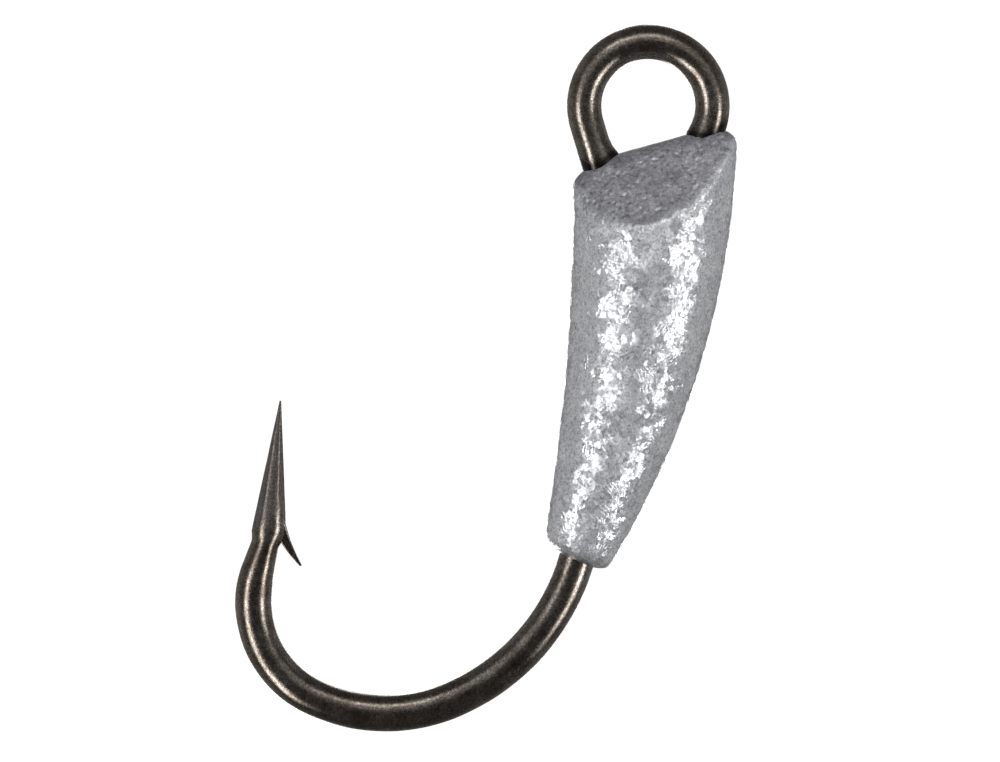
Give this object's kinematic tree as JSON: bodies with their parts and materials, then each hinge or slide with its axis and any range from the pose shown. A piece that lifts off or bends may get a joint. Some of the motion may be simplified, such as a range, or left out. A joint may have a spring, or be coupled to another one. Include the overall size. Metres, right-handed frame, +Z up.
{
  "type": "jig head",
  "caption": "Fishing jig head: a barbed wire hook with a ring eye and a tapered lead slug with a bevelled nose cast round its shank.",
  "frame": {"origin": "centre of the ring eye, in the plane of the hook", "axes": "+Z up along the pull of the line with the bend hanging below, +X away from the hook's point, +Y square to the hook's plane; the picture looks along +Y"},
  "size_m": [0.0436, 0.012, 0.0615],
  "materials": {
    "hook_wire": "black nickel plated high-carbon steel, glossy, with brown wear in the bend",
    "cast_lead": "bare cast lead, mid grey, satin with bright frosted crystal flecks and small pits"
  },
  "bodies": {
    "root": {"hook": "hook_wire", "lead_head": "cast_lead"}
  },
  "joints": []
}
